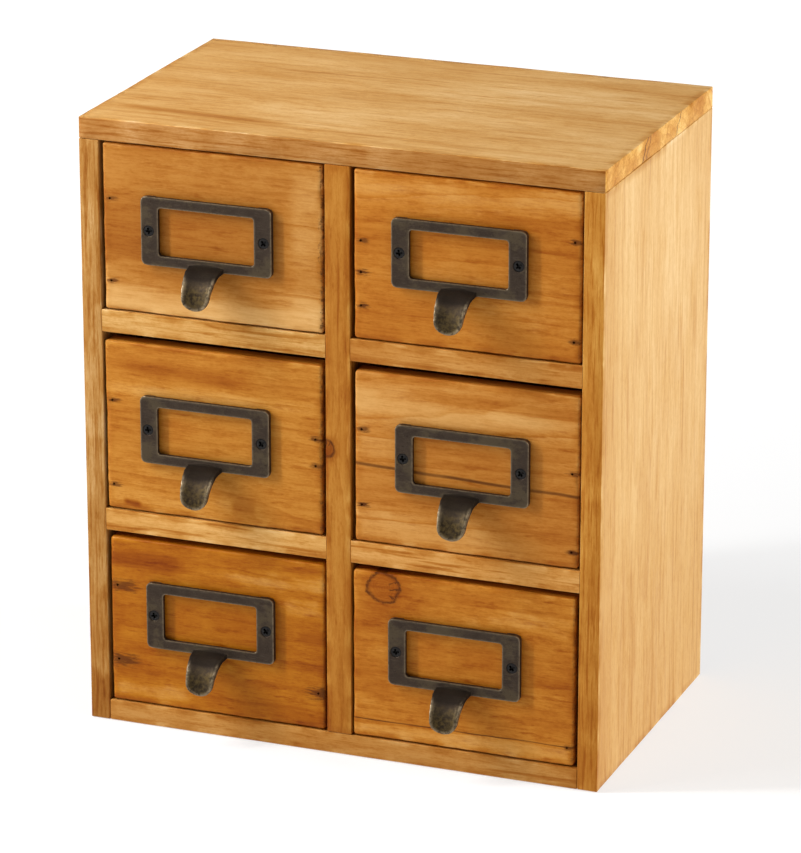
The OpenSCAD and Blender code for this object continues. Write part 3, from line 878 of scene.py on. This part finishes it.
# What each drawer front's wood looks like, in the words of wood(). smudge is the size of the dirt
# round its nails
FRONT_WOODS = {
    "top_left": dict(
        base=(0.366, 0.131, 0.017), seed=21, spacing=5.5, pith=(-75, -30), slope=(0.03, 0.02),
        bands=((60, 5, 95, 13, -0.03, -0.52), (10, 36, 14, 11, 0.0, 0.14),
        (62, 44, 34, 16, 0.0, 0.08), (10, 30, 22, 5, 0.1, 0.10), (20, 70, 60, 30, 0, 0.03),
        (106, 45, 14, 40, 0, -0.14)), chips=(0.1, 0.75), mottled=0.11),
    "top_right": dict(
        base=(0.412, 0.134, 0.012), seed=24, spacing=3.4, pith=(85, -40), slope=(-0.01, 0.03),
        bands=((55, 74, 90, 9, 0.0, -0.2), (60, 12, 45, 12, 0.0, -0.07)), chips=(0.15, 0.4),
        mottled=0.15, grain=1.2),
    "middle_left": dict(
        base=(0.430, 0.157, 0.017), seed=27, spacing=5, pith=(-60, -40), slope=(0.04, 0.03),
        bands=((40, 71, 38, 4.5, -0.03, 0.34), (70, 8, 7, 4, 0, 0.26), (13, 3.5, 5, 1.6, -0.1, 0.7),
        (60, 61, 70, 3.5, 0.02, -0.2), (40, 6, 70, 6, 0, -0.04)), chips=(0.35, 0.6), mottled=0.16,
        late_share=0.22, grain=1.2),
    "middle_right": dict(
        base=(0.418, 0.146, 0.018), seed=30, spacing=4.2, pith=(40, -50), slope=(0.02, 0.06),
        bands=((45, 68, 80, 9, 0.01, -0.32), (75, 74, 50, 3.5, -0.01, 0.26),
        (12, 50, 22, 9, 0.0, -0.2), (85, 14, 26, 8, 0, 0.14), (50, 10, 60, 12, 0, -0.15)),
        seams=((38.3, -0.03, 1.2, 0.9),), chips=(0.2, 0.4), mottled=0.12, late_share=0.26),
    "bottom_left": dict(
        base=(0.380, 0.118, 0.005), seed=33, spacing=5, pith=(-50, -45), slope=(-0.03, 0.04),
        bands=((16, 73, 26, 5, 0.0, 0.46), (10, 40, 18, 34, 0, 0.10), (90, 72, 40, 5, 0, -0.24),
        (52, 42, 34, 12, 0, 0.08), (80, 6, 50, 6, 0, 0.14), (104, 46, 9, 4, 0, 0.24),
        (100, 31, 14, 3, 0, 0.2), (99, 60, 14, 5, 0, -0.22), (14, 36, 12, 3, 0, -0.2),
        (20, 8, 30, 6, 0, -0.3)), chips=(0.3, 0.4), mottled=0.24, grain=1.2, dirty=0.6, smudge=3.1),
    "bottom_right": dict(
        base=(0.434, 0.145, 0.012), seed=36, spacing=4.6, pith=(30, -55), slope=(0.02, 0.05),
        knots=((15.4, 76.0, 7.5, 9, 0.25),), seams=((8.9, 0.004, 0.5, 0.9),),
        bands=((55, 3.5, 100, 5.5, 0.004, -0.16), (75, 68, 40, 6, 0.0, -0.14),
        (14, 60, 16, 8, 0, 0.16), (100, 40, 12, 5, 0, 0.2), (8, 30, 14, 12, 0, 0.16),
        (54, 42, 34, 13, 0, 0.08)), chips=(0.2, 0.5), mottled=0.24, grain=1.2, dirty=0.6),
}


def build_drawer(key, number, casting, screw, bronze, black):
    """One drawer with its pull, each board with its own wood. number keeps the drawers different."""
    drawer = key + "_drawer"
    low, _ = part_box(drawer + "_front")
    settings = dict(FRONT_WOODS[key])
    smudge = settings.pop("smudge", 1.3)
    stains = [(((a.x + b.x) / 2 - low.x) / MM + 0.7 * smudge, ((a.z + b.z) / 2 - low.z) / MM, smudge,
               0.85 + 0.3 * noise.noise(a * 900)) for a, b in front_nails(drawer)]
    front = wood(drawer + "_front_wood", drawer + "_front", "x_face_front", stains=stains, **settings)
    board(drawer + "_front", drawer, front, radius=FRONT_EDGE, step=1.6 * MM, wear=1.3,
          chips=settings["chips"], cutters=[groove(drawer)] + nail_holes(drawer), seed=number)
    bare = dict(base=BARE_WOOD, rough=0.6, end_tone=(0.9, 0.82, 0.75))
    for hand in ("left", "right"):
        node = drawer + "_" + hand + "_side"
        side = wood(node + "_wood", node, "y_face_side", seed=40 + 4 * number + (hand == "left"),
                    spacing=3.3, pith=(70, -30), **bare)
        board(node, drawer, side, cutters=[groove(drawer)] + side_holes(drawer, hand),
              seed=number + 30)
    back = wood(drawer + "_back_wood", drawer + "_back", "x_face_front", seed=70 + number,
                spacing=3.5, pith=(-60, -40), **bare)
    board(drawer + "_back", drawer, back, seed=number + 50)
    bottom = plywood(drawer + "_bottom_wood", drawer + "_bottom", "y_face_up", seed=number + 3)
    board(drawer + "_bottom", drawer, bottom, radius=0.2 * MM, step=6 * MM, wear=0.6,
          seed=number + 60)
    build_pull(key, drawer, casting, bronze)
    build_screws(key, drawer, screw, black)


# ------------------------------------------------------------------ the pulls

def arc(centre, radius, start, end, steps):
    """Points along an arc, in degrees."""
    made = []
    for i in range(steps + 1):
        angle = math.radians(start + (end - start) * i / steps)
        made.append((centre[0] + radius * math.cos(angle), centre[1] + radius * math.sin(angle)))
    return made


def rounded_outline(width, height, corner, steps=8):
    """A rectangle with round corners, centred."""
    points = []
    for sx, sz, start in ((1, 1, 0), (-1, 1, 90), (-1, -1, 180), (1, -1, 270)):
        centre = (sx * (width / 2 - corner), sz * (height / 2 - corner))
        points += arc(centre, corner, start, start + 90, steps)
    return points


def prism(outline, front, back):
    """A closed solid with that x, z outline between two y planes."""
    bm = bmesh.new()
    near = [bm.verts.new((x, front, z)) for x, z in outline]
    far = [bm.verts.new((x, back, z)) for x, z in outline]
    bm.faces.new(near)
    bm.faces.new(far[::-1])
    for i in range(len(outline)):
        j = (i + 1) % len(outline)
        bm.faces.new((near[j], near[i], far[i], far[j]))
    return to_mesh(bm, "prism", turn=True)


def ramp(value, low, high):
    """0 below low, 1 above high and even between them."""
    return max(0.0, min(1.0, (value - low) / (high - low)))


def tab_path():
    """(height, forward) points down the middle of the tab, from inside the lower bar to its tip.

    It bends forward and then back down to hang straight."""
    half = TAB_THICKNESS / 2
    bend = 2 * math.degrees(math.atan(TAB_REACH / TAB_DROP))
    arcs = TAB_DROP / math.sin(math.radians(bend))
    root_radius = 0.15 * arcs
    tip_radius = arcs - root_radius
    path = arc((root_radius - half, TAB_START), root_radius, 180, 180 + bend, 40)
    path += arc((TAB_REACH - half - tip_radius, TAB_START - TAB_DROP), tip_radius, bend, 0, 50)[1:]
    path.append((path[-1][0], path[-1][1] - half))
    return [(height, forward) for forward, height in path]


def tab_half_width(height):
    """Half the tab's width at a height above the frame's lower edge."""
    if height < TAB_END_CENTRE:
        return math.sqrt(max(1e-9, (TAB_END / 2) ** 2 - (TAB_END_CENTRE - height) ** 2))
    lift = max(0.0, height - NECK_HEIGHT)
    flare = TAB_FILLET - math.sqrt(max(0.0, TAB_FILLET ** 2 - lift ** 2))
    taper = ramp(NECK_HEIGHT - height, 0, NECK_HEIGHT - TAB_END_CENTRE)
    return TAB_NECK / 2 + (TAB_END - TAB_NECK) / 2 * taper + flare


def tab_rim_wear_and_highlight(point, proud):
    """1 along the tab's outline, where it is rubbed bright and carries a painted highlight, and 0
    inside it.
    """
    height = point.z + PULL_HEIGHT / 2
    if height < TAB_END_CENTRE:
        inside = TAB_END / 2 - math.hypot(point.x, height - TAB_END_CENTRE)
    else:
        inside = tab_half_width(height) - abs(point.x)
    return (1 - ramp(inside, 0.5 * MM, 1.8 * MM)) * ramp(proud, 7, 10)


def tab_mesh():
    """The finger tab: a domed root, then a dished tongue with raised rims and a round end."""
    path = tab_path()
    half = TAB_THICKNESS / 2
    top, bottom = path[0][0], path[-1][0]
    across = 30

    def forward_at(height):
        height = min(top, max(bottom, height))
        for (h0, f0), (h1, f1) in zip(path, path[1:]):
            if h1 <= height:
                drop = max(h0 - h1, 1e-12)
                return f0 + (f1 - f0) * (h0 - height) / drop, (f1 - f0) / drop
        return path[-1][1], 0.0

    heights = [top - (top - TAB_END_CENTRE) * i / 96 for i in range(97)]
    heights += [TAB_END_CENTRE - TAB_END / 2 * math.sin(math.radians(a)) for a in range(5, 90, 5)]
    heights.append(bottom + 1e-5)
    bm = bmesh.new()
    rings = []
    for height in heights:
        share = ramp(top - height, 0, top - TAB_END_CENTRE)
        width = tab_half_width(height)
        ring = []
        for side in (1, -1):
            for k in range(across + 1):
                t = (-1 + 2 * k / across) * side
                dome = DOME * t * t * ramp(height, 0, top)
                forward, steepness = forward_at(min(top, height + dome))
                slant = Vector((1.0, steepness)).normalized()
                reach = width / (TAB_END / 2)
                hollow = TAB_HOLLOW * share * max(0.0, 1 - (t * reach / DISHED_SHARE) ** 2)
                rise = half - hollow if side == 1 else -half
                y = -PULL_THICKNESS - forward - slant.x * rise
                z = -PULL_HEIGHT / 2 + height + slant.y * rise * (1 - share ** 4)
                ring.append(bm.verts.new((t * width, y, z)))
        rings.append(ring)
    count = len(rings[0])
    for a, b in zip(rings, rings[1:]):
        for k in range(count):
            m = (k + 1) % count
            bm.faces.new((a[k], a[m], b[m], b[k]))
    bm.faces.new(rings[0][::-1])
    bm.faces.new(rings[-1])
    return to_mesh(bm, "tab", turn=True)


def frame_cutters(screw_x):
    """The card's pocket and the countersunk screw holes."""
    width, depth, drop = CARD_POCKET
    made = [box_mesh((-width / 2, -depth, -drop), (width / 2, PAST, PULL_HEIGHT / 2 + PAST))]
    # Each stage of a hole: how deep it starts and ends, and its radius at both
    stages = ((-PAST, 1.2 * MM, SCREW_HOLE, SCREW_HOLE),
              (1.05 * MM, 2.65 * MM, 1.4 * MM, SCREW_HEAD + 0.1 * MM),
              (2.64 * MM, 4 * MM, SCREW_HEAD + 0.1 * MM, SCREW_HEAD + 0.3 * MM))
    for x in (-screw_x, screw_x):
        made += [cylinder_mesh((x, -start, 0), (x, -end, 0), radius_1, radius_2)
                 for start, end, radius_1, radius_2 in stages]
    return made


def convexity(mesh):
    """How sharply each vertex stands out from its neighbours, for rubbed edges."""
    bm = bmesh.new()
    bm.from_mesh(mesh)
    values = []
    for vert in bm.verts:
        around = [edge.other_vert(vert).co for edge in vert.link_edges]
        middle = sum(around, Vector()) / max(1, len(around))
        reach = sum((c - vert.co).length for c in around) / max(1, len(around))
        values.append(max(0.0, (vert.co - middle).dot(vert.normal) / max(reach, 1e-9)))
    for _ in range(2):
        values = [0.5 * values[v.index] + 0.5 * sum(values[e.other_vert(v).index] for e in v.link_edges)
                  / max(1, len(v.link_edges)) for v in bm.verts]
    bm.free()
    return values


def add_attribute(mesh, name, values):
    """A number for each vertex, which a material can read."""
    mesh.attributes.new(name, "FLOAT", "POINT").data.foreach_set("value", values)


def pull_mesh(width):
    """One casting, centred on its frame, with its back on the plane y = 0."""
    outline = prism(rounded_outline(width, PULL_HEIGHT, PULL_CORNER), -PULL_THICKNESS, 0)
    window = prism(rounded_outline(*WINDOW, WINDOW_CORNER), -2 * PULL_THICKNESS, PULL_THICKNESS)
    piece = placed("casting", outline)
    cut(piece, [window])
    joined = bmesh.new()
    joined.from_mesh(piece.data)
    joined.from_mesh(tab_mesh())
    joined.to_mesh(piece.data)
    joined.free()
    modifier = piece.modifiers.new("cast", "REMESH")
    modifier.mode = "VOXEL"
    modifier.voxel_size = CAST_VOXEL
    apply_modifier(piece, modifier)
    modifier = piece.modifiers.new("soften", "SMOOTH")
    modifier.factor = 0.5
    modifier.iterations = 4
    apply_modifier(piece, modifier)
    points = [v.co.copy() for v in piece.data.vertices]
    proud = [(-p.y - PULL_THICKNESS) / MM for p in points]
    zones = {"wear": [min(1.0, 7.0 * v) for v in convexity(piece.data)],
             "root": [ramp(d, 0.02, 0.25) * (1 - ramp(d, 8.5, 11.5)) for d in proud],
             "tip": [ramp(d, 9.0, 12.5) for d in proud],
             # rim: rubbed metal and a painted highlight along the tab's outline
             "rim": [tab_rim_wear_and_highlight(p, d) for p, d in zip(points, proud)]}
    for name, values in zones.items():
        add_attribute(piece.data, name, values)
    cut(piece, frame_cutters(width / 2 - SCREW_INSET))
    mesh = piece.data
    bpy.data.objects.remove(piece)
    return mesh


def screw_mesh():
    """A countersunk screw with a domed head and a tapered cross recess, driven along +Y from y = 0."""
    # (radius, depth) down its side, in mm
    profile = [(0.0, -0.12), (1.3, -0.10), (2.2, -0.02), (2.55, 0.06), (2.68, 0.16), (2.66, 0.26),
               (1.32, 1.62), (1.3, 10.4), (0.9, 10.9), (0.0, 11.0)]
    bm = bmesh.new()
    steps = 40
    turns = [2 * math.pi * i / steps for i in range(steps)]
    rings = [[bm.verts.new((radius * MM * math.cos(turn), depth * MM, radius * MM * math.sin(turn)))
              for turn in turns] for radius, depth in profile[1:-1]]
    start, end = (bm.verts.new((0, profile[i][1] * MM, 0)) for i in (0, -1))
    for a, b in zip(rings, rings[1:]):
        for i in range(steps):
            j = (i + 1) % steps
            bm.faces.new((a[i], a[j], b[j], b[i]))
    for i in range(steps):
        j = (i + 1) % steps
        bm.faces.new((start, rings[0][j], rings[0][i]))
        bm.faces.new((end, rings[-1][i], rings[-1][j]))
    piece = placed("screw", to_mesh(bm, "screw", turn=True))
    cut(piece, [cross_arm(0), cross_arm(90)])
    mesh = piece.data
    bpy.data.objects.remove(piece)
    return mesh


def cross_arm(degrees):
    """One arm of the cross recess, which narrows towards its bottom."""
    bm = bmesh.new()
    for depth, length, width in ((-0.6, 2.0, 0.62), (1.3, 0.8, 0.3)):
        for sx, sz in ((1, 1), (-1, 1), (-1, -1), (1, -1)):
            bm.verts.new((sx * length * MM, depth * MM, sz * width * MM))
    bm.verts.ensure_lookup_table()
    v = list(bm.verts)
    for ring in ((0, 1, 2, 3), (7, 6, 5, 4), (0, 4, 5, 1), (1, 5, 6, 2), (2, 6, 7, 3), (3, 7, 4, 0)):
        bm.faces.new([v[i] for i in ring])
    bmesh.ops.recalc_face_normals(bm, faces=bm.faces)
    turn = Matrix.Rotation(math.radians(degrees), 4, "Y")
    bmesh.ops.transform(bm, verts=bm.verts, matrix=turn)
    return to_mesh(bm, "arm")


def pull_middle(key):
    """Where a pull's frame is centred, on the face of its drawer front."""
    low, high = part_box(key + "_label_pull")
    return Vector(((low.x + high.x) / 2, high.y, high.z - PULL_HEIGHT / 2))


def build_pull(key, drawer, casting, metal):
    mesh = casting.copy()
    mesh.name = key + "_label_pull"
    mesh.transform(Matrix.Translation(pull_middle(key)))
    piece = make_object(key + "_label_pull_casting", mesh, metal)
    finish_mesh(piece, 42)
    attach(piece, drawer)
    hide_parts(key + "_label_pull")


def build_screws(key, drawer, screw, metal):
    """The pull's two screws, each turned its own way."""
    low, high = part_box(key + "_label_pull")
    reach = (high.x - low.x) / 2 - SCREW_INSET
    head_y = high.y - PULL_THICKNESS + SCREW_SUNK
    middle = pull_middle(key)
    joined = bmesh.new()
    for side, turn in ((-1, 12), (1, 51)):
        part = screw.copy()
        part.transform(Matrix.Rotation(math.radians(turn * side), 4, "Y"))
        part.transform(Matrix.Translation((middle.x + side * reach, head_y, middle.z)))
        joined.from_mesh(part)
        bpy.data.meshes.remove(part)
    mesh = to_mesh(joined, key + "_pull_screws")
    piece = make_object(key + "_pull_screws_cross", mesh, metal)
    finish_mesh(piece, 35)
    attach(piece, drawer)
    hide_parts(key + "_pull_screws")


# ------------------------------------------------------------- carried-over CAD

def dress_cad(node, material):
    """Gives a CAD node that keeps its own shape a better material."""
    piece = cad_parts[node]
    for slot in piece.material_slots:
        slot.link = "OBJECT"
        slot.material = material


# ------------------------------------------------------------------- the stage

def build_floor():
    """A plain pale floor just under the cabinet, lit a little from itself so that it stays white."""
    material, n, shader = new_material("studio_floor")
    place = n.add("ShaderNodeTexCoord").outputs["Object"]
    cloud = n.noise(place, 3, detail=2)
    glow = n.span(n.vector("LENGTH", place), 0.25, 1.2, 0.6, 0.8)
    n.fill(shader, {"Base Color": n.mix(cloud, (0.37, 0.37, 0.37), (0.39, 0.39, 0.39)),
                    "Roughness": 0.9, "Specular IOR Level": 0.1,
                    "Emission Color": (1, 1, 1, 1), "Emission Strength": glow})
    mesh = bpy.data.meshes.new("studio_floor")
    reach, gap = 30, 0.3 * MM
    corners = [(x * reach, y * reach, 0) for x, y in ((-1, -1), (1, -1), (1, 1), (-1, 1))]
    mesh.from_pydata(corners, [], [(0, 1, 2, 3)])
    floor = make_object("studio_floor", mesh, material)
    floor.location.z = -gap


def outward(azimuth, elevation):
    """The direction from the cabinet to a place at those angles, in degrees, from its front."""
    a, e = math.radians(azimuth), math.radians(elevation)
    return Vector((math.sin(a) * math.cos(e), -math.cos(a) * math.cos(e), math.sin(e)))


def aimed(name, data, back, location=(0, 0, 0)):
    """A camera or light that looks the opposite way from back."""
    made = placed(name, data)
    made.location = location
    made.rotation_mode = "QUATERNION"
    made.rotation_quaternion = (-back).to_track_quat("-Z", "Y")
    return made


def build_camera():
    """The photograph's view: long lens, a little to the right and above."""
    # Fitted to the seven corners of the case that the photograph shows
    distance, back = 2.2596, outward(21.11, 18.91)
    target = Vector((0.0002, 0.001, 0.1385))
    data = bpy.data.cameras.new("camera")
    data.lens = 198.8
    data.sensor_width = 36
    data.clip_start, data.clip_end = 0.05, 100
    bpy.context.scene.camera = aimed("camera", data, back, target + back * distance)


def area_light(name, azimuth, elevation, distance, size, power):
    """A softbox of that width and height that faces the cabinet's middle."""
    back = outward(azimuth, elevation)
    data = bpy.data.lights.new(name, "AREA")
    data.shape = "RECTANGLE"
    data.size, data.size_y = size
    data.energy = power
    aimed(name, data, back, Vector((0, 0, 0.15)) + back * distance)


def sun_light(name, azimuth, elevation, spread, strength):
    """A broad distant light, which falls evenly on the cabinet and the floor."""
    data = bpy.data.lights.new(name, "SUN")
    data.angle = math.radians(spread)
    data.energy = strength
    aimed(name, data, outward(azimuth, elevation))


def build_lights():
    """A broad and a narrow softbox from the left, a wide sun from the right and a pale world."""
    area_light("key_broad", -55, 37, 1.15, (0.62, 0.62), 5.4)
    area_light("key_strip", -59, 33, 1.15, (0.08, 1.2), 13.0)
    sun_light("side_right", 96, 26, 30, 2.7)
    world = bpy.data.worlds.new("studio")
    world.use_nodes = True
    bpy.context.scene.world = world
    n = Nodes(world.node_tree)
    white = (1, 1, 1, 1)
    lighting, shown = world.node_tree.nodes["Background"], n.add("ShaderNodeBackground")
    n.fill(lighting, {"Color": white, "Strength": 0.22})
    n.fill(shown, {"Color": white, "Strength": 1.0})
    pick = n.add("ShaderNodeMixShader")
    seen = n.add("ShaderNodeLightPath").outputs["Is Camera Ray"]
    for socket, value in zip(pick.inputs, (seen, lighting.outputs[0], shown.outputs[0])):
        n.feed(socket, value)
    n.feed(world.node_tree.nodes["World Output"].inputs["Surface"], pick.outputs[0])
    bpy.context.scene.view_settings.view_transform = "Standard"


# ---------------------------------------------------------------- put together

metals = aged_bronze(), black_screw()
steel = tarnished_steel()
build_case()
pull_low, pull_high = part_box("top_left_label_pull")
hardware = pull_mesh(pull_high.x - pull_low.x), screw_mesh()
keys = [row + "_" + column for row in ROWS for column in COLUMNS]
for place_number, drawer_key in enumerate(keys, 1):
    build_drawer(drawer_key, place_number, *hardware, *metals)
    dress_cad(drawer_key + "_drawer_nails", steel)
dress_cad("back_panel_pins", steel)
dress_cad("carcass_dowels", wood("dowel_beech", "carcass_dowels", "z_face_front", BARE_WOOD, seed=90))
build_floor()
build_camera()
build_lights()
